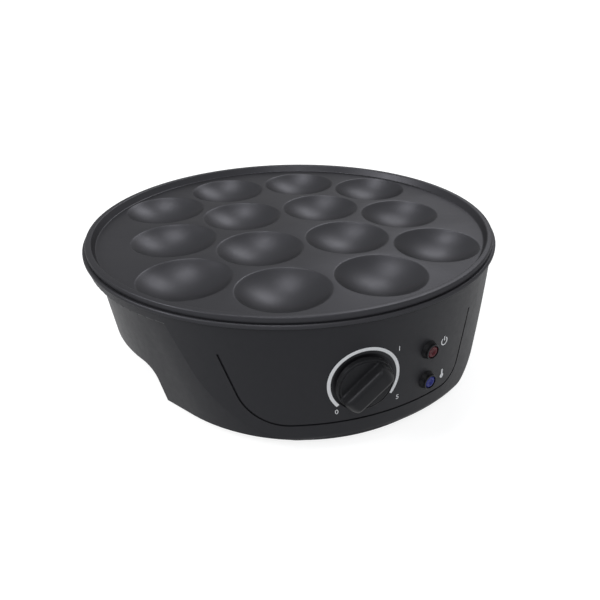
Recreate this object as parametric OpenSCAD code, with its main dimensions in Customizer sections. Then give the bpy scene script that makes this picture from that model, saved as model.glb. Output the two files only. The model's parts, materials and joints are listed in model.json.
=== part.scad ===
// Round countertop pancake cooker: a cast plate with fourteen wells on a moulded housing with a heat dial.
// Millimetres, +Z up, origin on the table under the middle of the outline, front towards -Y.

/* [Cooking plate] */
// Radius of the plate's outer flange
rim_r = 140; // [138:0.5:146]
// Height of the cooking surface above the table
surface_z = 84; // [82:0.5:92]
// Thickness of the cast plate
plate_t = 4.5; // [3.5:0.5:5.5]
// Height of the raised rim above the cooking surface
rim_rise = 4.8; // [3:0.2:7]
// Width of the raised rim at its top
rim_w = 4.1; // [3:0.1:5]
// How far the rim's inner face leans outwards
rim_lean = 1.8; // [1:0.1:2.5]
// Radius of the rounded edges of the rim
rim_round = 1; // [0.5:0.1:1.4]
// Radius of the fillet at the foot of the rim
rim_fillet = 1; // [0.5:0.1:1.2]
// How far the flange stands out past the rim
flange_w = 2.1; // [1.5:0.1:4]
// Height of the flange's top above the cooking surface
flange_up = 1.1; // [0.5:0.1:2]
// Depth of the flange's underside below the cooking surface
flange_down = 1.7; // [1:0.1:2.4]

/* [Wells] */
// Flat land between neighbouring wells of a column
well_land = 4.6; // [4.4:0.1:7]
// Flat land between the outermost wells and the foot of the rim
edge_land = 1.6; // [1.5:0.1:3]
// Place of the two inner columns from the middle, in well spacings
inner_share = 0.492; // [0.485:0.001:0.51]
// Place of the two outer columns from the middle, in well spacings
outer_share = 1.344; // [1.33:0.001:1.36]
// Depth of a well
well_depth = 10.5; // [8:0.5:12]
// Radius of the rounded lip of a well
well_lip = 2; // [1:0.1:2.3]
// Thickness of the casting under a well
well_wall = 2.5; // [2:0.1:2.6]

/* [Heating element] */
// Radius of the element's tube
element_r = 3.25; // [3:0.05:3.5]
// How far the dent round an outer well lies inside the well's edge
dent_inset = 0.5; // [0:0.25:1]
// Radius of the bends beside each dent
element_bend_r = 14; // [12:0.5:15]
// Width of the plate's channel rib round the element
channel_w = 12; // [10:0.5:12]
// Height of the channel rib
channel_h = 5.5; // [5.5:0.25:6]
// Half the distance between the element's two ends
element_end_x = 14; // [13.5:0.25:16]
// Height of the lower end of the element's metal tube
element_end_z = 52; // [50:1:54]
// Length of the ceramic seals at the element's ends
seal_h = 6; // [5:0.5:8]
// Radius of the ceramic seals
seal_r = 3.9; // [3.7:0.1:4.5]
// Length of the element's flat terminals
terminal_h = 12; // [10:1:12]

/* [Housing] */
// Gap between the plate's flange and the housing's collar
plate_gap = 0.8; // [0.4:0.1:1.2]
// How far the collar lies inside the flange
collar_inset = 2; // [1:0.5:4]
// Height of the collar
collar_h = 5.9; // [4.5:0.1:8]
// Radius of the collar's rounded lower edge
collar_round = 1.6; // [0.5:0.1:2.5]
// How far the side wall lies inside the collar
side_step = 5.3; // [4.5:0.1:6]
// How far the side wall tapers in from the collar to the bottom
side_taper = 8.2; // [7:0.2:9]
// How far forward the bulge of the front lies at the bottom
front_shift = 30.8; // [28:0.2:32]
// Wall thickness of the housing
wall = 2.5; // [2:0.1:3]
// Rounding of the housing's bottom edge
bottom_round = 2.4; // [1.5:0.1:2.4]
// Rounding of the front panel's bottom edge
panel_round = 5.5; // [3:0.5:6]
// Depth of the locating rib under the plate
locating_h = 8; // [6:0.5:9]

/* [Front panel] */
// Left edge of the raised panel at the height of the cooking surface
panel_left = 100.7; // [98:0.1:102]
// Lean of the panel's left edge in degrees
panel_left_lean = 22; // [18:0.5:24]
// Radius of the panel's lower left corner
panel_left_r = 75; // [60:1:78]
// Right edge of the raised panel at the height of the cooking surface
panel_right = 107.7; // [104:0.1:109]
// Lean of the panel's right edge in degrees
panel_right_lean = 15.7; // [12:0.1:18]
// Radius of the panel's lower right corner
panel_right_r = 30; // [20:1:40]
// Left side of the engraved line at the height of the cooking surface
line_left = 79.8; // [76:0.1:82]
// Lean of the line's left side in degrees
line_left_lean = 17.5; // [14:0.5:20]
// Radius of the line's lower left corner
line_left_r = 28; // [20:1:32]
// Right side of the engraved line at the height of the cooking surface
line_right = 83.8; // [80:0.1:86]
// Lean of the line's right side in degrees
line_right_lean = 12.4; // [10:0.1:16]
// Radius of the line's lower right corner
line_right_r = 15; // [10:1:24]
// Width of the engraved line
line_w = 1.1; // [0.8:0.1:1.6]
// Depth of the engraved line
line_d = 0.9; // [0.4:0.1:1.2]
// Depth of the line's open ends below the cooking surface
line_top = 20; // [16:0.5:24]
// Height of the line's bottom stretch above the table
line_z = 18.8; // [16:0.2:22]

/* [Grip recesses] */
// Half the length of a grip recess at its ceiling
grip_half = 68; // [60:1:70]
// How much further the recess reaches at the bottom on each side
grip_flare = 4; // [2:0.5:5]
// Height of the recess's ceiling above the table
grip_z = 32; // [26:0.5:36]
// Depth of the recess's inner wall inside the plate's flange
grip_inset = 40; // [36:0.5:42]
// Radius of the recess's upper corners
grip_round = 10; // [6:1:16]

/* [Dial] */
// Place of the dial to the right of the middle
dial_x = 2.4; // [0:0.2:4]
// Height of the dial above the table
dial_z = 43.5; // [43:0.25:44.5]
// Radius of the knob
knob_r = 16.2; // [15:0.1:17]
// Height of the knob's round body
knob_h = 3.1; // [2.8:0.1:4]
// Height of the knob with its grip bar
grip_bar_h = 11.2; // [9:0.2:13]
// Width of the grip bar at its foot
grip_bar_w = 12; // [9:0.2:14]
// How much the knob and its grip bar narrow towards the front on each side
knob_draft = 0.5; // [0.3:0.1:0.8]
// Rounding of the knob's and the grip bar's front edges
knob_round = 1; // [0.5:0.1:1.4]
// Gap between the knob and the panel
knob_gap = 0.6; // [0.4:0.1:1]
// Direction of the knob's pointer at its stop in degrees
knob_rest = -138; // [-150:1:-120]
// Radius of the recess round the knob
recess_r = 18.5; // [18:0.1:19]
// Depth of the recess round the knob
recess_d = 1.6; // [1.4:0.1:2]
// Radius of the knob's hub
hub_r = 5.5; // [5:0.1:6]
// Length of the hub behind the knob's back
hub_l = 7; // [6:0.5:7.5]
// Radius of the thermostat's spindle
spindle_r = 3; // [2.5:0.1:3.2]
// Depth of the flat on the spindle
spindle_flat = 1; // [0.8:0.1:1.2]
// Running clearance of the spindle in its bush
running_gap = 0.05; // [0.03:0.01:0.1]
// Thickness of the knob's spring clip
clip_t = 0.5; // [0.3:0.1:0.6]

/* [Lamps] */
// Direction of the lamps round the panel in degrees
lamp_angle = 19; // [18:0.5:21]
// Height of the upper lamp above the table
lamp_high_z = 51.5; // [48:0.5:54]
// Height of the lower lamp above the table
lamp_low_z = 30.5; // [29:0.5:33]
// Outer radius of a lamp's barrel
bezel_r = 4.8; // [4.4:0.1:5.2]
// How much wider the barrel's foot is in front of the panel
bezel_flare = 1; // [0.6:0.1:1.2]
// Wall thickness of a lamp's barrel
bezel_wall = 0.8; // [0.7:0.1:1.2]
// How far a lamp's barrel stands out from the panel
bezel_out = 3.8; // [3:0.2:5]
// Length of a lamp's barrel behind the panel
bezel_in = 13; // [11:0.5:16]
// Length of a lamp's lens
lens_l = 3; // [2:0.2:4]
// Depth of the lens inside the barrel's mouth
lens_sink = 0.2; // [0.1:0.1:1]

/* [Thermostat] */
// Width of the thermostat's case
thermostat_w = 34; // [30:1:35]
// Height of the thermostat's case
thermostat_h = 34; // [30:1:34]
// Depth of the thermostat's case
thermostat_d = 22; // [18:1:24]
// Distance from the panel's face to the bracket's front
bracket_back = 12; // [11:0.5:12.5]
// Thickness of the bracket
bracket_t = 1.2; // [1:0.1:1.5]
// Distance of the bracket's screws from the dial's axis
bracket_screw_x = 24; // [22:0.5:26]
// Height of the bracket's arms
bracket_arm_h = 18; // [16:0.5:20]
// Width of the bracket's middle
bracket_pad_w = 28; // [26:0.5:30]
// Distance of the case's screws from the dial's axis
case_screw_x = 11; // [10:0.25:12]
// Radius of the sensing bulb
bulb_r = 3; // [2.5:0.1:3.2]
// Length of the sensing bulb
bulb_l = 62; // [50:1:70]
// Radius of the capillary tube
capillary_r = 0.8; // [0.6:0.1:1]

/* [Heat shield] */
// Thickness of the heat shield's sheet
shield_t = 0.8; // [0.6:0.1:1]
// How far the heat shield lies inside the plate's flange
shield_inset = 17.5; // [16:0.5:19]
// Depth of the heat shield's dish
shield_dish = 4.5; // [3:0.5:4.5]
// Depth of the plate's screw bosses below the plate
boss_h = 12; // [10.5:0.25:12]

/* [Bottom] */
// Height of the feet
foot_h = 5; // [4:0.5:8]
// Radius of a foot
foot_r = 8; // [7:0.5:10]
// Thickness of the bottom cover
cover_t = 2.5; // [2:0.25:3]
// Gap round the bottom cover
cover_gap = 0.4; // [0.2:0.1:0.6]
// How far the feet's centres lie inside the plate's flange
foot_inset = 36; // [36:1:42]
// Direction of the feet from the front and back in degrees
foot_angle = 48; // [44:1:50]
// Width of a vent slot
vent_w = 3; // [2:0.25:4]
// Length of a vent slot
vent_l = 34; // [20:1:40]
// Distance from one vent slot to the next
vent_pitch = 8; // [7:0.5:10]

/* [Fasteners] */
// How far the plate's screws lie inside the flange
plate_screw_inset = 24; // [24:0.5:25]
// Direction of the plate's screws from the front and back in degrees
plate_screw_angle = 36; // [35:0.5:38]
// Radius of the plate's screws
plate_screw_r = 2; // [1.5:0.1:2.2]
// How far the cover's screws lie inside the flange
cover_screw_inset = 32; // [31:0.5:34]
// Direction of the cover's screws from the front and back in degrees
cover_screw_angle = 22; // [20:0.5:24]
// Radius of the small screws
small_screw_r = 1.5; // [1.2:0.1:1.7]
// Length of the plate's screws
plate_screw_l = 12.5; // [11.5:0.5:13]
// Length of the cover's screws
cover_screw_l = 12; // [10:0.5:12.5]
// Radius of the small screws' heads
small_head_r = 2.8; // [2.4:0.1:3]
// Height of the small screws' heads
small_head_h = 2; // [1.6:0.1:2.2]
// Radius of the access bores in the pillars
pillar_bore_r = 4.8; // [4.6:0.1:5]
// Wall thickness of the pillars
pillar_wall = 1.5; // [1.2:0.1:1.6]
// Clearance round the screws
screw_gap = 0.2; // [0.1:0.05:0.3]

/* [Wiring] */
// Height of the mains gland above the table
gland_z = 18; // [17:0.5:20]
// Radius of the mains gland's bore
gland_bore_r = 3.6; // [3:0.1:4]
// Radius of the mains gland's neck
gland_neck_r = 5; // [4.8:0.1:5.4]
// Width of the terminal block
block_w = 36; // [34:1:38]
// Depth of the terminal block
block_d = 14; // [12:1:15]
// Height of the terminal block
block_h = 14; // [12:1:15]
// Distance of the terminal block's front from the rear wall
block_inset = 32; // [30:0.5:34]
// How much wider the shelf over the block is on each side
shelf_margin = 4; // [2:0.5:6]
// Radius of the mains leads
lead_r = 1.3; // [1:0.1:1.4]
// Radius of the lamp leads
lamp_lead_r = 0.7; // [0.5:0.1:0.8]
// Radius of the bends in the leads
lead_bend = 5; // [3:0.5:6]

/* [Hidden] */
$fn = 96;
// Overlap that keeps cuts and joins clean
over = 1;
// Clearance of a piece pressed in a bore or channel
press_gap = 0.05;
// Clearance between pieces that fit loosely
loose_gap = 0.3;

// Plate
plate_under = surface_z - plate_t;
rim_outer = rim_r - flange_w;
rim_inner_top = rim_outer - rim_w;
rim_inner = rim_inner_top - rim_lean;
// The outermost wells keep edge_land to the rim, and the wells of a column well_land to each other
well_pitch = (rim_inner - edge_land + well_land / 2) / (norm([outer_share, 1]) + 0.5);
well_r = (well_pitch - well_land) / 2;
inner_column = inner_share * well_pitch;
outer_column = outer_share * well_pitch;
well_sphere_r = (pow(well_r, 2) + pow(well_depth, 2)) / (2 * well_depth);
well_centre_up = well_sphere_r - well_depth;
well_places = concat(
    [for (x = [-1, 1], i = [-1 : 1]) [x * outer_column, i * well_pitch]],
    [for (x = [-1, 1], i = [-1.5 : 1 : 1.5]) [x * inner_column, i * well_pitch]]);
plate_screw_circle = rim_r - plate_screw_inset;
plate_screw_places = [for (x = [-1, 1], y = [-1, 1])
    [x * plate_screw_circle * sin(plate_screw_angle), y * plate_screw_circle * cos(plate_screw_angle)]];
boss_bottom = plate_under - boss_h;
boss_r = 5.5;

// Element route: a ring midway between the middle wells and the end wells of the inner columns,
// dented round the two middle wells of the outer columns
element_ring_r = (norm([inner_column, well_pitch / 2]) + norm([inner_column, well_pitch * 1.5])) / 2;
element_dent_r = well_r - dent_inset;
channel_z = plate_under - channel_h;
bend_reach = element_ring_r - element_bend_r;
dent_reach = element_dent_r + element_bend_r;
bend_x = (pow(bend_reach, 2) - pow(dent_reach, 2) + pow(outer_column, 2)) / (2 * outer_column);
bend_y = sqrt(pow(bend_reach, 2) - pow(bend_x, 2));
ring_start = atan2(bend_y, bend_x);
dent_start = atan2(bend_y, outer_column - bend_x);
element_drop_r = 8;
ring_end = acos((element_end_x + element_drop_r) / element_ring_r);
element_end_y = element_ring_r * sin(ring_end);

// Housing
base_z = foot_h;
collar_top = surface_z - flange_down - plate_gap;
collar_bottom = collar_top - collar_h;
collar_r = rim_r - collar_inset;
side_top_r = collar_r - side_step;
side_bottom_r = side_top_r - side_taper;
front_r = collar_r - front_shift;
panel_r = collar_r;
cover_top = base_z + cover_t;
pillar_r = pillar_bore_r + pillar_wall;
pillar_top = boss_bottom - shield_t;
pillar_web = 3;
cover_screw_circle = rim_r - cover_screw_inset;
cover_screw_places = [for (x = [-1, 1], y = [-1, 1])
    [x * cover_screw_circle * sin(cover_screw_angle), y * cover_screw_circle * cos(cover_screw_angle)]];
foot_circle = rim_r - foot_inset;
foot_places = [for (x = [-1, 1], y = [-1, 1])
    [x * foot_circle * sin(foot_angle), y * foot_circle * cos(foot_angle)]];
cover_boss_r = 4.5;
cover_boss_h = 15;
web_t = 2;
grip_x = rim_r - grip_inset;
shield_r = rim_r - shield_inset;
// Radius of the side wall's outside at a height
function side_r(z) = side_bottom_r + side_taper * (z - base_z) / (collar_bottom - base_z);

// The outline's middle lies between the knob's front and the flange's back
plate_axis_y = (panel_r + knob_gap + grip_bar_h - rim_r) / 2;

// Thermostat, in the dial's own frame: x right, y up, z out of the panel
bracket_z = -bracket_back;
case_z = bracket_z - bracket_t;
hub_back = knob_gap - hub_l;
socket_top = 8;
spindle_top = 7.4;
spindle_in = 5;
hub_hole_r = hub_r + 1.5;
case_back_y = -panel_r + bracket_back + bracket_t + thermostat_d;
tab_x = 9;
tab_z = -7.5;
tab_l = 7;
tab_w = 6.3;
tab_t = 0.8;
capillary_up = 10.5;
capillary_drop = 15;
bush_r = 4.6;
bush_l = 5.2;
bracket_end = 6;
case_corner_r = 3;
case_cap_h = 6;
case_cap_inset = 1;
bulb_z = plate_under - bulb_r - press_gap;
bulb_front_y = -bulb_l / 2;
capillary_turn_y = bulb_front_y - capillary_drop;

// Bulb clip and earth tag stand on small bosses under the plate
small_boss_r = 4;
small_boss_h = 5;
small_boss_z = plate_under - small_boss_h;
clip_boss_x = -12;
earth_boss_x = 15;
earth_tab_x = 24;
sheet_t = 0.8;
strap_w = 8;

// Screws of the bracket and of the thermostat's case
bracket_screw_l = 7;
case_screw_l = 4;

// Fuse
fuse_y = 52;
fuse_r = 2.2;
fuse_l = 14;
fuse_z = plate_under - fuse_r - press_gap;
fuse_boss_y = 40;
fuse_wire_x = 13;

// Places that the leads run through
lead_out = 12;
run_x = 34;
run_z = 14;
run_front_y = -58;
run_back_y = 50;
sleeve_z = 46;
sleeve_low_z = 22;
earth_low_z = 48;
earth_back_z = 40;
lamp_front_x = 30;
lamp_front_y = -85;
lamp_run_x = 36;
lamp_turn_y = -66;
lamp_run_z = 16;
lamp_step = 3;
lamp_pin = 1.2;

// Terminal block under a shelf on the rear wall
shelf_z = 36;
shelf_t = 2.5;
shelf_w = block_w + 2 * shelf_margin;
block_front_y = side_r(shelf_z) - block_inset;
block_entry_z = shelf_z - 9;
block_pitch = block_w / 3 - 1;
block_screw_x = block_pitch / 2;

// Gland
gland_proud = 1.2;
gland_boss_l = 9.7;
gland_face_y = side_r(gland_z) + gland_proud;
gland_boss_r = 9;
gland_boss_back = gland_face_y - gland_boss_l;
gland_flange_r = 7.5;
gland_flange_t = 2;

// Points on an arc about c from angle a0 to a1
function arc(c, r, a0, a1, n) = [for (i = [0 : n]) c + r * [cos(a0 + (a1 - a0) * i / n),
    sin(a0 + (a1 - a0) * i / n)]];
function reversed(points) = [for (i = [len(points) - 1 : -1 : 0]) points[i]];
function unit(v) = v / norm(v);

// A shield outline in the front view: leaning sides, rounded lower corners, open top.
// d moves the outline outwards.
function shield_outline(left, left_lean, left_r, right, right_lean, right_r, top, bottom, d, n = 14) =
    let (
        zl = bottom + left_r,
        zr = bottom + right_r,
        xl = -left + tan(left_lean) * (surface_z - zl) + left_r / cos(left_lean),
        xr = right - tan(right_lean) * (surface_z - zr) - right_r / cos(right_lean),
        tl = -left + tan(left_lean) * (surface_z - top) - d / cos(left_lean),
        tr = right - tan(right_lean) * (surface_z - top) + d / cos(right_lean)
    )
    concat(
        [[tl, top]],
        arc([xl, zl], left_r + d, 180 + left_lean, 270, n),
        arc([xr, zr], right_r + d, 270, 360 - right_lean, n),
        [[tr, top]]);

// Puts the plate's axis where it lies in the part's frame
module placed() {
    translate([0, plate_axis_y, 0]) children();
}

// The dial's frame: x right, y up, z out of the panel
module at_dial() {
    translate([dial_x, -panel_r, dial_z]) rotate([90, 0, 0]) children();
}

// A lamp's frame: z out of the panel along its radius
module at_lamp(z) {
    rotate([0, 0, lamp_angle]) translate([0, -panel_r, z]) rotate([90, 0, 0]) children();
}

// A shape in the front view, carried from the axis to the front
module front_prism(depth) {
    rotate([90, 0, 0]) linear_extrude(height = depth) children();
}

// Points along straight runs with bends of one radius, for a tube
function bent(points, bend, steps = 3) = let (last = len(points) - 1) concat(
    [points[0]],
    [for (i = [1 : last - 1]) let (
            a = unit(points[i] - points[i - 1]),
            b = unit(points[i + 1] - points[i]),
            angle = acos(a * b),
            inward = unit(b - (b * a) * a),
            start = points[i] - a * bend * tan(angle / 2)
        )
        for (k = [0 : steps]) let (t = angle * k / steps)
            start + bend * (a * sin(t) + inward * (1 - cos(t)))],
    [points[last]]);

// Directions across a tube, each carried on from the one before without twist
function carried(path, i, v) = let (
        a = unit(path[i] - path[max(i - 1, 0)] + path[min(i + 1, len(path) - 1)] - path[i]),
        w = unit(v - (v * a) * a)
    )
    i == len(path) - 1 ? [[a, w]] : concat([[a, w]], carried(path, i + 1, w));

// A round tube along a path, as one closed sweep
module tube(path, r, sides) {
    first = unit(path[1] - path[0]);
    frames = carried(path, 0, abs(first[2]) > 0.9 ? [1, 0, 0] : [0, 0, 1]);
    rings = len(path);
    polyhedron(
        points = [for (i = [0 : rings - 1], k = [0 : sides - 1])
            path[i] + r * (cos(360 * k / sides) * frames[i][1]
                + sin(360 * k / sides) * cross(frames[i][0], frames[i][1]))],
        faces = concat(
            [[for (k = [0 : sides - 1]) k]],
            [for (i = [0 : rings - 2], k = [0 : sides - 1]) let (m = (k + 1) % sides)
                [i * sides + k, (i + 1) * sides + m, i * sides + m]],
            [for (i = [0 : rings - 2], k = [0 : sides - 1]) let (m = (k + 1) % sides)
                [i * sides + k, (i + 1) * sides + k, (i + 1) * sides + m]],
            [[for (k = [sides - 1 : -1 : 0]) (rings - 1) * sides + k]]));
}

// A lead along straight runs with bends of one radius
module pipe(points, r, bend) {
    tube(bent(points, bend), r, 8);
}

// The element's route from its right end round the front to its left end, moved outwards by d
function element_line(d) = let (
        half = concat(
            arc([0, 0], element_ring_r + d, ring_end, ring_start, 8),
            arc([bend_x, bend_y], element_bend_r + d, ring_start, -dent_start, 5),
            arc([outer_column, 0], element_dent_r - d, 180 - dent_start, 180 + dent_start, 6),
            arc([bend_x, -bend_y], element_bend_r + d, dent_start, -ring_start, 5),
            arc([0, 0], element_ring_r + d, -ring_start, -90, 8))
    )
    distinct(concat(half, [for (p = reversed(half)) [-p[0], p[1]]]));

// Points without those that repeat the one before
function distinct(points) = [for (i = [0 : len(points) - 1])
    if (i == 0 || norm(points[i] - points[max(i - 1, 0)]) > 0.01) points[i]];

// A band of the given half width along the element's route, which runs on past the route's ends
module element_band(half_w, past = 0) {
    function line(d) = let (
            route = element_line(d),
            end = (element_ring_r + d) * [cos(ring_end), sin(ring_end)] + past * [-sin(ring_end), cos(ring_end)]
        )
        concat([end], route, [[-end[0], end[1]]]);
    polygon(past == 0 ? concat(element_line(half_w), reversed(element_line(-half_w)))
        : concat(line(half_w), reversed(line(-half_w))));
}

// Cooking plate
module plate_section() {
    polygon(concat(
        [[0, plate_under], [rim_inner - over, plate_under], [rim_inner - over, surface_z - flange_down]],
        arc([rim_r - rim_round, surface_z - flange_down + rim_round], rim_round, 270, 360, 5),
        arc([rim_r - rim_round, surface_z + flange_up - rim_round], rim_round, 0, 90, 5),
        [[rim_outer, surface_z + flange_up]],
        arc([rim_outer - rim_round, surface_z + rim_rise - rim_round], rim_round, 0, 90, 5),
        arc([rim_inner_top + rim_round, surface_z + rim_rise - rim_round], rim_round, 90, 155, 5),
        arc([rim_inner - rim_fillet * 0.6, surface_z + rim_fillet], rim_fillet, 335, 270, 5),
        [[0, surface_z]]));
}

module well_cut() {
    lip_x = sqrt(pow(well_sphere_r + well_lip, 2) - pow(well_centre_up + well_lip, 2));
    share = well_sphere_r / (well_sphere_r + well_lip);
    touch = [lip_x * share, well_centre_up - (well_centre_up + well_lip) * share];
    bowl_angle = asin(touch[0] / well_sphere_r);
    rotate_extrude() polygon(concat(
        [[0, over], [lip_x, over]],
        arc([lip_x, -well_lip], well_lip, 90, 180 - atan2(well_centre_up + well_lip, lip_x), 4),
        [for (i = [15 : -1 : 0]) [well_sphere_r * sin(bowl_angle * i / 16),
            well_centre_up - well_sphere_r * cos(bowl_angle * i / 16)]]));
}

module cooking_plate() {
    color([0.27, 0.27, 0.29]) difference() {
        union() {
            rotate_extrude($fn = 180) plate_section();
            difference() {
                translate([0, 0, plate_under - locating_h + plate_t])
                    cylinder(r = side_top_r - wall - 1, h = locating_h - over);
                translate([0, 0, plate_under - locating_h])
                    cylinder(r = side_top_r - wall - 3, h = 2 * locating_h);
            }
            for (p = well_places) translate([p[0], p[1], 0]) intersection() {
                translate([0, 0, surface_z + well_centre_up]) sphere(r = well_sphere_r + well_wall);
                translate([0, 0, surface_z - 2 * well_depth]) cylinder(r = well_r, h = 2 * well_depth - plate_t / 2);
            }
            translate([0, 0, channel_z]) linear_extrude(height = channel_h + over) element_band(channel_w / 2);
            for (p = plate_screw_places) translate([p[0], p[1], boss_bottom])
                cylinder(r = boss_r, h = boss_h + over);
            for (p = [[clip_boss_x, 0], [earth_boss_x, 0], [0, fuse_boss_y]])
                translate([p[0], p[1], small_boss_z]) cylinder(r = small_boss_r, h = small_boss_h + over);
        }
        for (p = well_places) translate([p[0], p[1], surface_z]) well_cut();
        translate([0, 0, channel_z - over]) linear_extrude(height = element_r + press_gap + over)
            element_band(element_r + press_gap, over);
        for (p = plate_screw_places) translate([p[0], p[1], boss_bottom - over])
            cylinder(r = plate_screw_r + press_gap, h = 10);
        for (p = [[clip_boss_x, 0], [earth_boss_x, 0], [0, fuse_boss_y]])
            translate([p[0], p[1], small_boss_z - over])
                cylinder(r = small_screw_r + press_gap, h = small_boss_h + over);
    }
}

// Heating element
// The element's ends turn down through a quarter bend
function element_drop(side) = let (p = [side * element_end_x, element_end_y, channel_z - element_drop_r])
    concat(
        [[p[0], p[1], element_end_z]],
        [for (i = [0 : 4]) p + element_drop_r * [side * (1 - cos(90 * i / 4)), 0, sin(90 * i / 4)]]);

module heating_element() {
    color([0.45, 0.43, 0.41]) tube(concat(
        element_drop(1),
        [for (p = element_line(0)) [p[0], p[1], channel_z]],
        reversed(element_drop(-1))), element_r, 12);
}

module at_element_ends() {
    for (side = [0, 1]) mirror([side, 0, 0]) translate([element_end_x, element_end_y, 0]) children();
}

module element_seals() {
    color([0.86, 0.84, 0.78]) at_element_ends() translate([0, 0, element_end_z - seal_h]) union() {
        cylinder(r1 = seal_r - 0.8, r2 = seal_r, h = seal_h / 3);
        translate([0, 0, seal_h / 3]) cylinder(r = seal_r, h = seal_h * 2 / 3);
    }
}

module element_terminals() {
    color([0.75, 0.68, 0.45]) at_element_ends() difference() {
        translate([-tab_w / 2, -tab_t / 2, element_end_z - seal_h - terminal_h])
            cube([tab_w, tab_t, terminal_h]);
        translate([0, tab_t, element_end_z - seal_h - terminal_h + 4]) rotate([90, 0, 0])
            cylinder(r = 0.9, h = 2 * tab_t);
    }
}

// Heat shield
module heat_shield() {
    slope_in = shield_r - 26;
    slope_out = shield_r - 19;
    color([0.72, 0.73, 0.74]) difference() {
        rotate_extrude($fn = 120) polygon([
            [0, pillar_top - shield_dish], [slope_in, pillar_top - shield_dish],
            [slope_out, pillar_top], [shield_r, pillar_top], [shield_r, pillar_top + shield_t],
            [slope_out - 0.3, pillar_top + shield_t], [slope_in - 0.3, pillar_top - shield_dish + shield_t],
            [0, pillar_top - shield_dish + shield_t]]);
        for (p = plate_screw_places) translate([p[0], p[1], 0])
            cylinder(r = plate_screw_r + screw_gap, h = surface_z);
        for (p = [[0, capillary_turn_y, 3], [earth_tab_x, 0, 4], [fuse_wire_x, fuse_y, 4],
                [-fuse_wire_x, fuse_y, 4], [element_end_x, element_end_y, 6], [-element_end_x, element_end_y, 6]])
            translate([p[0], p[1], 0]) cylinder(r = p[2], h = surface_z);
    }
}

// Plate fasteners
washer_t = 0.8;
head_r = 3.6;
head_h = 2.8;
module plate_washers() {
    color([0.78, 0.78, 0.8]) for (p = plate_screw_places)
        translate([p[0], p[1], pillar_top - pillar_web - washer_t]) difference() {
            cylinder(r = pillar_bore_r - loose_gap, h = washer_t);
            translate([0, 0, -over]) cylinder(r = plate_screw_r + screw_gap, h = washer_t + 2 * over);
        }
}

module screw(r, length, wide, head) {
    difference() {
        union() {
            cylinder(r = r, h = length);
            translate([0, 0, -head]) cylinder(r1 = wide * 0.86, r2 = wide, h = head);
        }
        for (a = [0, 90]) rotate([0, 0, a]) translate([-wide * 0.6, -wide * 0.14, -head - over])
            cube([wide * 1.2, wide * 0.28, head / 2 + over]);
    }
}

module small_screw(length) {
    screw(small_screw_r, length, small_head_r, small_head_h);
}

module plate_screws() {
    color([0.7, 0.7, 0.72]) for (p = plate_screw_places)
        translate([p[0], p[1], pillar_top - pillar_web - washer_t])
            screw(plate_screw_r, plate_screw_l, head_r, head_h);
}

// Housing
// The lower body: a taper whose bottom outline bulges forwards
module lower_body(inset, chamfer, bottom, top) {
    hull() {
        translate([0, 0, bottom]) cylinder(r1 = side_bottom_r - inset - chamfer, r2 = side_bottom_r - inset,
            h = max(chamfer, over), $fn = 144);
        translate([0, -front_shift, bottom]) cylinder(r1 = front_r - inset - chamfer, r2 = front_r - inset,
            h = max(chamfer, over), $fn = 144);
        translate([0, 0, collar_bottom]) cylinder(r = side_top_r - inset, h = top - collar_bottom, $fn = 144);
    }
}

module drum_section(r, rounding) {
    union() {
        translate([0, rounding]) square([r, collar_top - base_z - rounding]);
        square([r - rounding, collar_top - base_z]);
        translate([r - rounding, rounding]) circle(r = rounding);
    }
}

module panel_prism(d) {
    front_prism(panel_r + 5) polygon(shield_outline(panel_left, panel_left_lean, panel_left_r,
        panel_right, panel_right_lean, panel_right_r, collar_top, base_z, d));
}

module line_prism() {
    function line(d) = shield_outline(line_left, line_left_lean, line_left_r, line_right,
        line_right_lean, line_right_r, surface_z - line_top, line_z, d, 10);
    front_prism(panel_r + 5) polygon(concat(line(line_w / 2), reversed(line(-line_w / 2))));
}

// The outline of a grip recess, seen from the side
function grip_outline(d) = let (
        lean = atan2(grip_flare, grip_z - base_z),
        z = grip_z - grip_round,
        y = grip_half - grip_round / cos(lean) + tan(lean) * grip_round
    )
    concat(
        [[-grip_half - grip_flare - d, base_z - over]],
        arc([-y, z], grip_round + d, 180 - lean, 90, 6),
        arc([y, z], grip_round + d, 90, lean, 6),
        [[grip_half + grip_flare + d, base_z - over]]);

module grip_prism(d) {
    for (side = [0, 1]) mirror([side, 0, 0])
        translate([grip_x - d, 0, 0]) rotate([90, 0, 90]) linear_extrude(height = 60) polygon(grip_outline(d));
}

module housing_outside() {
    lower_body(0, bottom_round, base_z, collar_bottom + over);
    intersection() {
        translate([0, 0, base_z]) rotate_extrude($fn = 180) drum_section(panel_r, panel_round);
        panel_prism(0);
    }
    rotate_extrude($fn = 180) union() {
        translate([0, collar_bottom]) square([collar_r - collar_round, collar_h]);
        translate([0, collar_bottom + collar_round]) square([collar_r, collar_h - collar_round]);
        translate([collar_r - collar_round, collar_bottom + collar_round]) circle(r = collar_round, $fn = 32);
    }
    gland_boss();
}

module gland_boss() {
    translate([0, gland_boss_back, gland_z]) rotate([-90, 0, 0])
        cylinder(r = gland_boss_r, h = gland_face_y - gland_boss_back);
}

module housing_inside() {
    lower_body(wall, 0, base_z - over, collar_bottom + wall + over);
    intersection() {
        translate([0, 0, base_z + wall]) cylinder(r = panel_r - wall, h = collar_top - base_z, $fn = 180);
        panel_prism(-wall);
    }
    translate([0, 0, collar_bottom + wall]) cylinder(r = collar_r - wall, h = collar_h, $fn = 180);
}

// Pillars and bosses, each with a web to the wall
module pillar(place, r, h, web_h) {
    translate([place[0], place[1], cover_top]) {
        cylinder(r = r, h = h);
        rotate([0, 0, atan2(place[1], place[0])]) translate([0, -web_t / 2, 0]) cube([30, web_t, web_h]);
    }
}

module pillars() {
    for (p = plate_screw_places) pillar(p, pillar_r, pillar_top - cover_top, pillar_top - cover_top - 8);
    for (p = cover_screw_places) pillar(p, cover_boss_r, cover_boss_h, cover_boss_h);
}

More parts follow.
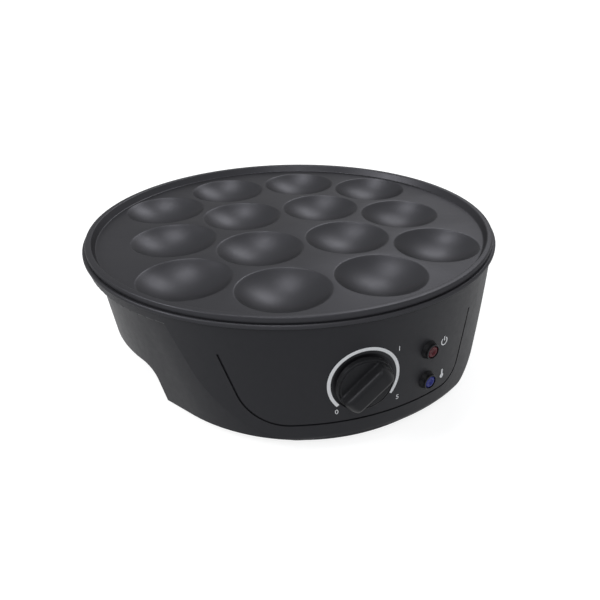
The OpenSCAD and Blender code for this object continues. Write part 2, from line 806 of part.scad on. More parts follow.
module block_shelf() {
    translate([-shelf_w / 2, block_front_y, shelf_z]) cube([shelf_w, block_inset + 5, shelf_t]);
    for (x = [-shelf_w / 2, shelf_w / 2 - web_t])
        translate([x, 0, 0]) rotate([90, 0, 90]) linear_extrude(height = web_t)
            polygon([[block_front_y + 4, shelf_z + shelf_t - 0.5], [side_top_r, shelf_z + shelf_t - 0.5],
                [side_top_r, shelf_z + 16 + shelf_t]]);
}

module bracket_bosses() {
    at_dial() for (x = [-1, 1]) translate([x * bracket_screw_x, 0, bracket_z])
        cylinder(r = cover_boss_r, h = bracket_back - wall / 2);
}

// The wall stays whole behind the knob's recess
module recess_pad() {
    at_dial() translate([0, 0, -wall - recess_d]) cylinder(r = recess_r + wall, h = wall);
}

module housing() {
    color([0.18, 0.18, 0.19]) difference() {
        housing_outside();
        difference() {
            housing_inside();
            grip_prism(wall);
            gland_boss();
            pillars();
            block_shelf();
            bracket_bosses();
            recess_pad();
        }
        grip_prism(0);
        intersection() {
            line_prism();
            difference() {
                translate([0, 0, base_z]) cylinder(r = panel_r + 3, h = surface_z, $fn = 180);
                cylinder(r = panel_r - line_d, h = 2 * surface_z, $fn = 180);
            }
        }
        for (p = plate_screw_places) translate([p[0], p[1], 0]) {
            cylinder(r = plate_screw_r + screw_gap, h = surface_z);
            cylinder(r = pillar_bore_r, h = pillar_top - pillar_web);
        }
        for (p = cover_screw_places) translate([p[0], p[1], cover_top - over])
            cylinder(r = small_screw_r + press_gap, h = cover_screw_l);
        at_dial() translate([0, 0, -recess_d]) cylinder(r = recess_r, h = 2 * wall);
        at_dial() translate([0, 0, -3 * wall]) cylinder(r = hub_hole_r, h = 4 * wall);
        at_dial() for (x = [-1, 1]) translate([x * bracket_screw_x, 0, bracket_z - over])
            cylinder(r = small_screw_r + press_gap, h = bracket_screw_l + over);
        for (z = [lamp_high_z, lamp_low_z]) at_lamp(z) translate([0, 0, -2 * wall])
            cylinder(r = bezel_r + press_gap, h = 4 * wall);
        for (x = [-1, 1]) translate([x * block_screw_x, block_front_y + block_d / 2, shelf_z - over])
            cylinder(r = small_screw_r + press_gap, h = shelf_t + 2 * over);
        translate([0, gland_boss_back - 5, gland_z]) rotate([-90, 0, 0])
            cylinder(r = gland_neck_r + press_gap, h = 20);
    }
}

// Bottom
module cover_outline() {
    intersection() {
        hull() {
            circle(r = side_bottom_r - wall - cover_gap, $fn = 120);
            translate([0, -front_shift]) circle(r = front_r - wall - cover_gap, $fn = 120);
        }
        square([2 * (grip_x - wall - cover_gap), 4 * rim_r], center = true);
    }
}

module bottom_cover() {
    color([0.16, 0.16, 0.17]) difference() {
        translate([0, 0, base_z]) linear_extrude(height = cover_t) cover_outline();
        for (p = cover_screw_places) translate([p[0], p[1], 0])
            cylinder(r = small_screw_r + screw_gap, h = surface_z);
        for (p = foot_places) translate([p[0], p[1], 0]) cylinder(r = 3 + press_gap, h = surface_z);
        for (row = [-1, 1], i = [-3 : 3])
            translate([i * vent_pitch - vent_w / 2, row * 40 - vent_l / 2, 0]) cube([vent_w, vent_l, surface_z]);
    }
}

module cover_screws() {
    color([0.7, 0.7, 0.72]) for (p = cover_screw_places) translate([p[0], p[1], base_z])
        small_screw(cover_screw_l);
}

module rubber_feet() {
    color([0.1, 0.1, 0.1]) for (p = foot_places) translate([p[0], p[1], 0]) union() {
        rotate_extrude() polygon([[0, 0], [foot_r - 1.5, 0], [foot_r - 0.5, 1], [foot_r, foot_h], [0, foot_h]]);
        cylinder(r = 3, h = cover_top + press_gap);
        translate([0, 0, cover_top + press_gap]) cylinder(r1 = 3.6, r2 = 2.4, h = 2.5);
    }
}

// Knob, drawn in the dial's frame and turned to its stop
module flat_cut(d) {
    difference() {
        children();
        translate([-10, d, -50]) cube([20, 20, 100]);
    }
}

module knob() {
    foot_chamfer = 0.4;
    end_inset = 0.3;
    disc_front = knob_gap + knob_h;
    bar_front = knob_gap + grip_bar_h;
    bar_edge = grip_bar_w / 2 - knob_draft - knob_round;
    bar_end_r = knob_r - knob_draft - end_inset;
    color([0.13, 0.13, 0.14]) at_dial() rotate([0, 0, knob_rest]) difference() {
        union() {
            rotate_extrude() polygon(concat(
                [[0, knob_gap], [knob_r - foot_chamfer, knob_gap], [knob_r, knob_gap + foot_chamfer]],
                arc([knob_r - knob_draft - knob_round, disc_front - knob_round], knob_round, 0, 90, 5),
                [[0, disc_front]]));
            intersection() {
                translate([-knob_r, 0, 0]) rotate([90, 0, 90]) linear_extrude(height = 2 * knob_r)
                    polygon(concat(
                        [[-grip_bar_w / 2, knob_h], [grip_bar_w / 2, knob_h]],
                        arc([bar_edge, bar_front - knob_round], knob_round, 0, 90, 4),
                        arc([-bar_edge, bar_front - knob_round], knob_round, 90, 180, 4)));
                rotate_extrude() polygon(concat(
                    [[0, 0], [bar_end_r, 0], [bar_end_r, disc_front]],
                    arc([bar_end_r - knob_draft - knob_round, bar_front - knob_round], knob_round, 0, 90, 5),
                    [[0, bar_front]]));
            }
            translate([0, 0, hub_back]) cylinder(r = hub_r, h = hub_l + over);
        }
        flat_cut(spindle_r - spindle_flat + clip_t + 2 * press_gap)
            translate([0, 0, hub_back - over]) cylinder(r = spindle_r + press_gap, h = socket_top - hub_back + over);
    }
}

module knob_clip() {
    flat_y = spindle_r - spindle_flat + press_gap;
    clip_w = 2 * sqrt(pow(spindle_r, 2) - pow(flat_y + clip_t, 2)) - 0.2;
    color([0.75, 0.75, 0.77]) at_dial() rotate([0, 0, knob_rest])
        translate([-clip_w / 2, flat_y, hub_back + 0.5]) cube([clip_w, clip_t, spindle_top - hub_back - 1]);
}

module thermostat_spindle() {
    color([0.72, 0.72, 0.74]) at_dial() rotate([0, 0, knob_rest]) difference() {
        translate([0, 0, case_z - spindle_in]) cylinder(r = spindle_r, h = spindle_top - case_z + spindle_in);
        translate([-10, spindle_r - spindle_flat, hub_back]) cube([20, 10, 50]);
    }
}

// Thermostat
module thermostat_bush() {
    color([0.78, 0.66, 0.38]) at_dial() difference() {
        translate([0, 0, case_z]) cylinder(r = bush_r, h = bush_l);
        translate([0, 0, case_z - over]) cylinder(r = spindle_r + running_gap, h = bush_l + 2 * over);
    }
}

module thermostat_case() {
    cap_w = thermostat_w - 2 * case_cap_inset;
    cap_h = thermostat_h - 2 * case_cap_inset;
    color([0.62, 0.6, 0.56]) at_dial() difference() {
        translate([0, 0, case_z - thermostat_d]) union() {
            linear_extrude(height = thermostat_d - case_cap_h) difference() {
                square([thermostat_w, thermostat_h], center = true);
                for (x = [-1, 1], y = [-1, 1]) translate([x * thermostat_w / 2, y * thermostat_h / 2])
                    circle(r = case_corner_r);
            }
            translate([-cap_w / 2, -cap_h / 2, thermostat_d - case_cap_h]) cube([cap_w, cap_h, case_cap_h]);
        }
        translate([0, 0, case_z - spindle_in - press_gap])
            cylinder(r = spindle_r + running_gap, h = spindle_in + over);
        for (x = [-1, 1]) translate([x * case_screw_x, 0, case_z - case_screw_l])
            cylinder(r = small_screw_r + press_gap, h = case_screw_l + over);
    }
}

module thermostat_tabs() {
    color([0.75, 0.68, 0.45]) at_dial() for (x = [-1, 1])
        translate([x * tab_x - tab_t / 2, tab_z - tab_w / 2, case_z - thermostat_d - tab_l])
            cube([tab_t, tab_w, tab_l]);
}

module thermostat_bracket() {
    bracket_w = 2 * (bracket_screw_x + bracket_end);
    color([0.72, 0.73, 0.75]) at_dial() difference() {
        translate([0, 0, case_z]) union() {
            translate([-bracket_w / 2, -bracket_arm_h / 2, 0]) cube([bracket_w, bracket_arm_h, bracket_t]);
            translate([-bracket_pad_w / 2, -bracket_pad_w / 2, 0]) cube([bracket_pad_w, bracket_pad_w, bracket_t]);
        }
        translate([0, 0, case_z - over]) cylinder(r = bush_r + press_gap, h = bracket_t + 2 * over);
        for (x = [-bracket_screw_x, bracket_screw_x, -case_screw_x, case_screw_x]) translate([x, 0, case_z - over])
            cylinder(r = small_screw_r + screw_gap, h = bracket_t + 2 * over);
    }
}

module bracket_screws() {
    color([0.7, 0.7, 0.72]) at_dial() {
        for (x = [-1, 1]) translate([x * bracket_screw_x, 0, case_z]) small_screw(bracket_screw_l);
        for (x = [-1, 1]) translate([x * case_screw_x, 0, case_z + bracket_t]) rotate([180, 0, 0])
            small_screw(bracket_t + case_screw_l - press_gap);
    }
}

module capillary_tube() {
    color([0.72, 0.5, 0.35]) pipe([
        [0, case_back_y, dial_z + capillary_up],
        [0, capillary_turn_y, dial_z + capillary_up],
        [0, capillary_turn_y, bulb_z],
        [0, bulb_front_y, bulb_z]], capillary_r, 6);
}

module sensing_bulb() {
    color([0.72, 0.5, 0.35]) translate([0, bulb_front_y, bulb_z]) rotate([-90, 0, 0]) union() {
        cylinder(r1 = bulb_r * 0.5, r2 = bulb_r, h = 3);
        translate([0, 0, 3]) cylinder(r = bulb_r, h = bulb_l - 5);
        translate([0, 0, bulb_l - 2]) cylinder(r1 = bulb_r, r2 = bulb_r * 0.6, h = 2);
    }
}

// A strap over a round piece at x = 0 under the plate, screwed to a boss at x = reach
module strap(r, z, reach, width) {
    side = sign(reach);
    rotate([90, 0, 0]) translate([0, 0, -width / 2]) linear_extrude(height = width) difference() {
        union() {
            translate([0, z]) circle(r = r + sheet_t + press_gap, $fn = 48);
            translate([side > 0 ? 0 : reach - small_boss_r, small_boss_z - sheet_t])
                square([abs(reach) + small_boss_r, sheet_t]);
        }
        translate([0, z]) circle(r = r + press_gap, $fn = 48);
        translate([-2 * r, z]) square([4 * r, 2 * r]);
    }
}

module bulb_clip() {
    color([0.75, 0.75, 0.77]) difference() {
        strap(bulb_r, bulb_z, clip_boss_x, strap_w);
        translate([clip_boss_x, 0, 0]) cylinder(r = small_screw_r + screw_gap, h = surface_z);
    }
}

module bulb_clip_screw() {
    color([0.7, 0.7, 0.72]) translate([clip_boss_x, 0, small_boss_z - sheet_t])
        small_screw(sheet_t + small_boss_h - over);
}

// Thermal fuse and its clamp
module thermal_fuse() {
    color([0.85, 0.82, 0.75]) translate([-fuse_l / 2, fuse_y, fuse_z]) rotate([0, 90, 0])
        cylinder(r = fuse_r, h = fuse_l);
}

module fuse_clamp() {
    color([0.75, 0.75, 0.77]) difference() {
        translate([0, fuse_y, 0]) rotate([0, 0, -90]) strap(fuse_r, fuse_z, fuse_y - fuse_boss_y, strap_w);
        translate([0, fuse_boss_y, 0]) cylinder(r = small_screw_r + screw_gap, h = surface_z);
    }
}

module fuse_clamp_screw() {
    color([0.7, 0.7, 0.72]) translate([0, fuse_boss_y, small_boss_z - sheet_t])
        small_screw(sheet_t + small_boss_h - over);
}

// Earth tag
module earth_tag() {
    color([0.75, 0.68, 0.45]) translate([earth_boss_x, 0, small_boss_z - sheet_t]) difference() {
        union() {
            cylinder(r = small_boss_r, h = sheet_t);
            translate([0, -tab_w / 2, 0]) cube([earth_tab_x - earth_boss_x + 3, tab_w, sheet_t]);
        }
        translate([0, 0, -over]) cylinder(r = small_screw_r + screw_gap, h = 4);
    }
}

module earth_screw() {
    color([0.7, 0.7, 0.72]) translate([earth_boss_x, 0, small_boss_z - sheet_t])
        small_screw(sheet_t + small_boss_h - over);
}

// Lamps
bezel_edge = 0.3;
module lamp_bezels() {
    color([0.07, 0.07, 0.07]) for (z = [lamp_high_z, lamp_low_z]) at_lamp(z) difference() {
        union() {
            translate([0, 0, -bezel_in]) cylinder(r = bezel_r, h = bezel_in + bezel_out - bezel_edge);
            translate([0, 0, bezel_out - bezel_edge])
                cylinder(r1 = bezel_r, r2 = bezel_r - bezel_edge, h = bezel_edge);
            translate([0, 0, press_gap]) cylinder(r1 = bezel_r + bezel_flare, r2 = bezel_r, h = bezel_out - 1);
            translate([0, 0, -wall - 2]) cylinder(r = bezel_r + 1.4, h = 1.6);
        }
        translate([0, 0, -bezel_in - over]) cylinder(r = bezel_r - bezel_wall, h = bezel_in + bezel_out + 2 * over);
    }
}

module lens() {
    lens_r = bezel_r - bezel_wall - press_gap;
    lens_dimple = 0.8;
    translate([0, 0, bezel_out - lens_sink - lens_l]) difference() {
        union() {
            cylinder(r = lens_r, h = lens_l - 0.8);
            translate([0, 0, lens_l - 0.8]) cylinder(r1 = lens_r, r2 = lens_r - 0.9, h = 0.8);
        }
        translate([0, 0, lens_l - lens_dimple])
            cylinder(r1 = lens_r * 0.25, r2 = lens_r * 0.6, h = 1.1 * lens_dimple);
    }
}

module red_lens() {
    color([0.7, 0.1, 0.12]) at_lamp(lamp_high_z) lens();
}

module blue_lens() {
    color([0.12, 0.18, 0.65]) at_lamp(lamp_low_z) lens();
}

bulb_out = bezel_in + 3;
module lamp_bulbs() {
    color([0.9, 0.75, 0.6]) for (z = [lamp_high_z, lamp_low_z]) at_lamp(z) translate([0, 0, -bulb_out]) union() {
        cylinder(r = bezel_r - bezel_wall - loose_gap, h = bulb_out - 2);
        translate([0, 0, bulb_out - 2]) cylinder(r1 = bezel_r - bezel_wall - loose_gap, r2 = 1.2, h = 2);
    }
}

// Terminal block
module terminal_block() {
    color([0.88, 0.87, 0.84]) difference() {
        translate([-block_w / 2, block_front_y, shelf_z - block_h]) cube([block_w, block_d, block_h]);
        for (x = [-1, 1]) translate([x * block_screw_x, block_front_y + block_d / 2, 0])
            cylinder(r = small_screw_r + screw_gap, h = surface_z);
        for (x = [-1, 0, 1], y = [3, block_d - 3]) translate([x * block_pitch, block_front_y + y, 0])
            cylinder(r = 1.6, h = shelf_z - block_h + 4);
    }
}

module terminal_screws() {
    color([0.75, 0.68, 0.45]) for (x = [-1, 0, 1], y = [3, block_d - 3])
        translate([x * block_pitch, block_front_y + y, shelf_z - block_h + 1]) difference() {
            cylinder(r = 1.55, h = 3);
            translate([-2, -0.25, -over]) cube([4, 0.5, over + 0.6]);
        }
}

module block_screws() {
    color([0.7, 0.7, 0.72]) for (x = [-1, 1])
        translate([x * block_screw_x, block_front_y + block_d / 2, shelf_z - block_h])
            small_screw(block_h + shelf_t);
}

// Leads
tab_end_y = case_back_y + tab_l;
terminal_bottom = element_end_z - seal_h - terminal_h;

module live_lead() {
    color([0.45, 0.25, 0.15]) pipe([
        [0, block_front_y, block_entry_z],
        [0, block_front_y - lead_out, block_entry_z],
        [run_x, run_back_y, run_z],
        [run_x, run_front_y, run_z],
        [dial_x + tab_x, tab_end_y + lead_out, dial_z + tab_z],
        [dial_x + tab_x, tab_end_y, dial_z + tab_z]], lead_r, lead_bend);
}

module neutral_lead() {
    color([0.15, 0.3, 0.6]) pipe([
        [-element_end_x, element_end_y, terminal_bottom],
        [-element_end_x, element_end_y, block_entry_z],
        [-block_pitch, block_front_y - lead_out * 2 / 3, block_entry_z],
        [-block_pitch, block_front_y, block_entry_z]], lead_r, lead_bend * 0.8);
}

module earth_lead() {
    color([0.55, 0.6, 0.15]) pipe([
        [earth_tab_x, 0, small_boss_z - sheet_t],
        [earth_tab_x, 0, earth_low_z],
        [earth_tab_x, run_back_y + lead_out * 2 / 3, earth_back_z],
        [block_pitch, block_front_y - lead_out, block_entry_z],
        [block_pitch, block_front_y, block_entry_z]], lead_r, lead_bend);
}

module thermostat_fuse_lead() {
    color([0.8, 0.78, 0.72]) pipe([
        [dial_x - tab_x, tab_end_y, dial_z + tab_z],
        [dial_x - tab_x, tab_end_y + lead_out, dial_z + tab_z],
        [-fuse_wire_x, run_front_y, sleeve_z],
        [-fuse_wire_x, fuse_y, sleeve_z],
        [-fuse_wire_x, fuse_y, fuse_z],
        [-fuse_l / 2, fuse_y, fuse_z]], lead_r, lead_bend);
}

module fuse_element_lead() {
    color([0.8, 0.78, 0.72]) pipe([
        [fuse_l / 2, fuse_y, fuse_z],
        [fuse_wire_x, fuse_y, fuse_z],
        [fuse_wire_x, fuse_y, sleeve_low_z],
        [element_end_x, element_end_y, sleeve_low_z],
        [element_end_x, element_end_y, terminal_bottom]], lead_r, lead_bend);
}

// The lamps' leads: one of each pair to the thermostat, the other back to the terminal block
function lamp_point(side, back) = let (a = lamp_angle, r = panel_r - back)
    [r * sin(a) + side * cos(a), -r * cos(a) + side * sin(a)];

module lamp_leads() {
    case_side = dial_x + thermostat_w / 2;
    entry_x = -block_pitch - 1.5 * lamp_step;
    color([0.75, 0.2, 0.18]) for (k = [0, 1]) {
        zl = k == 0 ? lamp_high_z : lamp_low_z;
        end_z = dial_z + lamp_step * (k == 0 ? 1.7 : -2);
        a0 = lamp_point(-lamp_pin, bulb_out);
        a1 = lamp_point(-lamp_pin, bulb_out + lamp_step * 1.7);
        pipe([[a0[0], a0[1], zl], [a1[0], a1[1], zl], [case_side + lamp_step * 1.7, a1[1] - lamp_step, end_z],
            [case_side, a1[1] - lamp_step, end_z]], lamp_lead_r, lamp_step / 2);
        b0 = lamp_point(lamp_pin, bulb_out);
        b1 = lamp_point(lamp_pin, bulb_out + lamp_step * (2.4 + 1.3 * k));
        low_z = lamp_run_z - lamp_step * k;
        entry_z = block_entry_z + lamp_step * (2 - 1.3 * k);
        pipe([[b0[0], b0[1], zl], [b1[0], b1[1], zl], [lamp_front_x, lamp_front_y - lamp_step * k, low_z],
            [-lamp_run_x, lamp_turn_y, low_z], [-lamp_run_x, run_back_y + lead_out * 2 / 3, low_z],
            [entry_x, block_front_y - lead_out * 2 / 3, entry_z], [entry_x, block_front_y, entry_z]],
            lamp_lead_r, lamp_step);
    }
}

// Gland
module cord_gland() {
    color([0.08, 0.08, 0.08]) translate([0, 0, gland_z]) rotate([-90, 0, 0]) difference() {
        union() {
            translate([0, 0, gland_boss_back - 2.6]) cylinder(r = gland_neck_r + 1.2, h = 2.4);
            translate([0, 0, gland_boss_back - 1]) cylinder(r = gland_neck_r, h = gland_face_y - gland_boss_back + 1);
            translate([0, 0, gland_face_y])
                cylinder(r1 = gland_flange_r, r2 = gland_flange_r - 1, h = gland_flange_t);
        }
        translate([0, 0, gland_boss_back - 5]) cylinder(r = gland_bore_r, h = 20);
    }
}

placed() cooking_plate();
placed() heating_element();
placed() element_seals();
placed() element_terminals();
placed() heat_shield();
placed() plate_washers();
placed() plate_screws();
placed() housing();
placed() bottom_cover();
placed() cover_screws();
placed() rubber_feet();
placed() knob();
placed() knob_clip();
placed() thermostat_spindle();
placed() thermostat_bush();
placed() thermostat_case();
placed() thermostat_tabs();
placed() thermostat_bracket();
placed() bracket_screws();
placed() capillary_tube();
placed() sensing_bulb();
placed() bulb_clip();
placed() bulb_clip_screw();
placed() thermal_fuse();
placed() fuse_clamp();
placed() fuse_clamp_screw();
placed() earth_tag();
placed() earth_screw();
placed() lamp_bezels();
placed() red_lens();
placed() blue_lens();
placed() lamp_bulbs();
placed() terminal_block();
placed() terminal_screws();
placed() block_screws();
placed() live_lead();
placed() neutral_lead();
placed() earth_lead();
placed() thermostat_fuse_lead();
placed() fuse_element_lead();
placed() lamp_leads();
placed() cord_gland();
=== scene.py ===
import json
import math

import bmesh
import bpy
from mathutils import Euler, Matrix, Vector


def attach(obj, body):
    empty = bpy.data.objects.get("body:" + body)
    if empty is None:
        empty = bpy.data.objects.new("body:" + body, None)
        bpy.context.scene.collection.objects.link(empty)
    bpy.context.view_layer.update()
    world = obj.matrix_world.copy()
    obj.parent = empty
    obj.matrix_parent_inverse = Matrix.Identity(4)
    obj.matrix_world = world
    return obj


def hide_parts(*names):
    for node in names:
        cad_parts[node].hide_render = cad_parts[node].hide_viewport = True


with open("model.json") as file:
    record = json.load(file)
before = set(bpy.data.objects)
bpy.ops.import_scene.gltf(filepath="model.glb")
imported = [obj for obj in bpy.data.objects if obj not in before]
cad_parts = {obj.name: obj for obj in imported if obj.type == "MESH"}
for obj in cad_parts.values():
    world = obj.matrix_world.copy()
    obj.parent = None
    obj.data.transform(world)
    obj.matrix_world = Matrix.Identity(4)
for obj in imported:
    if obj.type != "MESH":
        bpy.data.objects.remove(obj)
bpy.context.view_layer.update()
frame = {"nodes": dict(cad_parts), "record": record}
nodes = frame["nodes"]
slot_of = {row["node"]: row["material_slot"] for row in frame["record"]["subparts"]}

# The prints and the knob are given in millimetres in the part's frame, all else in metres
MM = 0.001
# The panel is part of an upright cylinder round the plate's axis, and carries the dial
AXIS_Y = 4.9
PANEL_R = 138.0
DIAL_X = 2.4
DIAL_Z = 43.5


def new_object(name, data):
    """An object in the scene with this mesh, light or camera."""
    obj = bpy.data.objects.new(name, data)
    bpy.context.scene.collection.objects.link(obj)
    return obj


def mesh_object(name, bm):
    """An object with the faces of bm, turned outwards."""
    bmesh.ops.recalc_face_normals(bm, faces=bm.faces)
    mesh = bpy.data.meshes.new(name)
    bm.to_mesh(mesh)
    bm.free()
    return new_object(name, mesh)


# ---------------------------------------------------------------- node trees
# Blender's noise stays mostly between these two values
NOISE_LOW, NOISE_HIGH = 0.3, 0.7


class Tree:
    """The node tree of a material or world, emptied."""

    def __init__(self, owner):
        owner.use_nodes = True
        self.tree = owner.node_tree
        self.tree.nodes.clear()

    def node(self, kind, **settings):
        """A new node with its settings: the capitalised ones are inputs, the others properties."""
        made = self.tree.nodes.new(kind)
        for key, value in settings.items():
            if key[0].isupper():
                made.inputs[key.replace("_", " ")].default_value = value
            else:
                setattr(made, key, value)
        return made

    def link(self, source, target):
        self.tree.links.new(source, target)


class Shader(Tree):
    """A material round one Principled shader, with its texture coordinates in metres."""

    def __init__(self, name):
        self.mat = bpy.data.materials.new(name)
        super().__init__(self.mat)
        self.bsdf = self.node("ShaderNodeBsdfPrincipled")
        out = self.node("ShaderNodeOutputMaterial")
        self.link(self.bsdf.outputs[0], out.inputs["Surface"])
        self.coords = self.node("ShaderNodeTexCoord").outputs["Object"]

    def set(self, **values):
        """Constants on the Principled shader's own sockets."""
        for key, value in values.items():
            self.bsdf.inputs[key.replace("_", " ")].default_value = value

    def noise(self, scale, detail, rough=0.5):
        """A noise with so many features to the metre."""
        made = self.node("ShaderNodeTexNoise", Scale=scale, Detail=detail, Roughness=rough)
        self.link(self.coords, made.inputs["Vector"])
        return made.outputs["Fac"]

    def spread(self, fac, low, high):
        """A noise's usual values, spread from low to high."""
        made = self.node("ShaderNodeMapRange", From_Min=NOISE_LOW, From_Max=NOISE_HIGH,
                         To_Min=low, To_Max=high)
        self.link(fac, made.inputs["Value"])
        return made.outputs["Result"]

    def color(self, socket):
        self.link(socket, self.bsdf.inputs["Base Color"])

    def two_colors(self, fac, first, second):
        """From the first colour to the second along fac."""
        made = self.node("ShaderNodeMix", data_type="RGBA")
        made.inputs["A"].default_value = (*first, 1)
        made.inputs["B"].default_value = (*second, 1)
        self.link(fac, made.inputs["Factor"])
        self.color(made.outputs["Result"])

    def tone(self, fac, color, change):
        """The colour, darker and lighter by a share along fac."""
        self.two_colors(fac, [c * (1 - change) for c in color], [c * (1 + change) for c in color])

    def roughness(self, fac, low, high):
        self.link(self.spread(fac, low, high), self.bsdf.inputs["Roughness"])

    def bump(self, height, depth):
        """A relief along height, its depth in metres."""
        made = self.node("ShaderNodeBump", Strength=1.0, Distance=depth)
        self.link(height, made.inputs["Height"])
        self.link(made.outputs["Normal"], self.bsdf.inputs["Normal"])


# ---------------------------------------------------------------- materials
# Reflections are faintly blue on the black mouldings, and damped on the coating
MOULDING_TINT = (0.92, 0.935, 1.0, 1)
COATING_TINT = (0.5, 0.5, 0.5, 1)


def surface(name, color, change, tone, rough, gloss, relief, depth, **settings):
    """A material whose tone, gloss and relief each follow a noise of (scale, detail, roughness).

    The colour changes by a share, rough is (least, most), and depth is the relief's in metres.
    """
    s = Shader(name)
    s.tone(s.noise(*tone), color, change)
    s.roughness(s.noise(*gloss), *rough)
    s.bump(s.noise(*relief), depth)
    s.set(**settings)
    return s.mat


def moulded(name, color, rough, grain=3200, depth=2e-5, specular=0.5):
    """Moulded plastic or rubber with a fine eroded grain."""
    return surface(name, color, change=0.04, tone=(22, 3), rough=(rough - 0.025, rough + 0.025),
                   gloss=(260, 3), relief=(grain, 3, 0.6), depth=depth,
                   Specular_IOR_Level=specular, Specular_Tint=MOULDING_TINT)


def coated(name, color, rough):
    """Cast aluminium under a sprayed coating: fine orange peel and a faint cloudiness."""
    return surface(name, color, change=0.08, tone=(30, 4), rough=(rough - 0.03, rough + 0.03),
                   gloss=(90, 4), relief=(1500, 4, 0.55), depth=1.2e-5,
                   Metallic=0.8, Specular_IOR_Level=0.2, Specular_Tint=COATING_TINT)


def ceramic(name, color):
    """Unglazed ceramic."""
    return surface(name, color, change=0.05, tone=(700, 4), rough=(0.45, 0.6),
                   gloss=(300, 2), relief=(1600, 3), depth=2e-5)


def clear(name, color):
    """A tinted moulding with a fine swirl."""
    return surface(name, color, change=0.15, tone=(900, 2), rough=(0.2, 0.3),
                   gloss=(700, 2), relief=(1300, 1), depth=1.5e-5,
                   Transmission_Weight=0.1, IOR=1.45, Specular_IOR_Level=0.15)


def printed(name, color):
    """Pad-printed ink."""
    return surface(name, color, change=0.08, tone=(1800, 3), rough=(0.45, 0.55),
                   gloss=(900, 2), relief=(3000, 2), depth=6e-6)


def metal(name, color, rough, stretch=(1, 1, 14)):
    """Bare or plated metal with fine drawn lines, square to the axis that is stretched."""
    s = Shader(name)
    mapped = s.node("ShaderNodeMapping", Scale=stretch)
    s.link(s.coords, mapped.inputs["Vector"])
    s.coords = mapped.outputs["Vector"]
    lines = s.noise(900, 4, 0.6)
    s.tone(lines, color, change=0.1)
    s.roughness(lines, rough - 0.06, rough + 0.08)
    s.bump(lines, depth=8e-6)
    s.set(Metallic=1.0)
    return s.mat


def striped(name, color, other):
    """Two-coloured insulation."""
    s = Shader(name)
    wave = s.node("ShaderNodeTexWave", wave_type="BANDS", bands_direction="DIAGONAL", Scale=90)
    s.link(s.coords, wave.inputs["Vector"])
    s.two_colors(s.spread(wave.outputs["Fac"], 0, 1), color, other)
    s.roughness(s.noise(500, 2), 0.4, 0.5)
    s.bump(s.noise(2200, 2), depth=1e-5)
    return s.mat


def woven(name, color):
    """Braided glass sleeving, with painted shade in the gaps between its strands."""
    s = Shader(name)
    # The mortar's darker grey between the strands is painted shade
    shadow, gap_shade = [c * 0.8 for c in color], [c * 0.5 for c in color]
    checks = s.node("ShaderNodeTexBrick", Scale=900, Color1=(*color, 1), Color2=(*shadow, 1),
                    Mortar=(*gap_shade, 1))
    s.link(s.coords, checks.inputs["Vector"])
    s.color(checks.outputs["Color"])
    s.bump(checks.outputs["Fac"], depth=4e-5)
    s.roughness(s.noise(900, 2), 0.75, 0.9)
    s.set(Sheen_Weight=0.3)
    return s.mat


# Each material slot: how it is made, its colour and its other settings
FINISHES = {
    "nonstick_aluminium": (coated, (0.037, 0.037, 0.0412), dict(rough=0.4)),
    "housing_plastic": (moulded, (0.0115, 0.0114, 0.0132), dict(rough=0.49, specular=0.22)),
    "cover_plastic": (moulded, (0.011, 0.011, 0.012), dict(rough=0.55, grain=2200, specular=0.3)),
    "knob_plastic": (moulded, (0.012, 0.012, 0.013), dict(rough=0.36, specular=0.13)),
    "bezel_plastic": (moulded, (0.004, 0.004, 0.0045), dict(rough=0.4, specular=0.2)),
    "red_lens": (clear, (0.085, 0.008, 0.014), {}),
    "blue_lens": (clear, (0.02, 0.026, 0.19), {}),
    "bulb_glass": (clear, (0.8, 0.55, 0.4), {}),
    "foot_rubber": (moulded, (0.012, 0.012, 0.012),
                    dict(rough=0.7, grain=1800, depth=4e-5, specular=0.3)),
    "gland_rubber": (moulded, (0.01, 0.01, 0.01), dict(rough=0.6, grain=2400, specular=0.3)),
    "element_steel": (metal, (0.2, 0.17, 0.15), dict(rough=0.42)),
    "shield_steel": (metal, (0.6, 0.61, 0.62), dict(rough=0.38, stretch=(14, 1, 1))),
    "zinc_steel": (metal, (0.6, 0.6, 0.62), dict(rough=0.3)),
    "spring_steel": (metal, (0.62, 0.62, 0.65), dict(rough=0.25)),
    "terminal_brass": (metal, (0.7, 0.5, 0.2), dict(rough=0.3)),
    "copper": (metal, (0.75, 0.35, 0.2), dict(rough=0.28)),
    "ceramic": (ceramic, (0.72, 0.68, 0.58), {}),
    "brown_lead": (moulded, (0.13, 0.05, 0.025), dict(rough=0.45)),
    "blue_lead": (moulded, (0.02, 0.09, 0.35), dict(rough=0.45)),
    "earth_lead": (striped, (0.6, 0.5, 0.02), dict(other=(0.05, 0.3, 0.06))),
    "sleeved_lead": (woven, (0.72, 0.7, 0.62), {}),
    "lamp_lead": (moulded, (0.45, 0.03, 0.025), dict(rough=0.45)),
}
materials = {slot: make(slot, color, **settings)
             for slot, (make, color, settings) in FINISHES.items()}
ink = printed("dial_ink", (0.75, 0.75, 0.76))


# ---------------------------------------------------------------- shading of the CAD nodes
# Edges that turn by more than this stay sharp, in degrees
SHARP_EDGE = 28


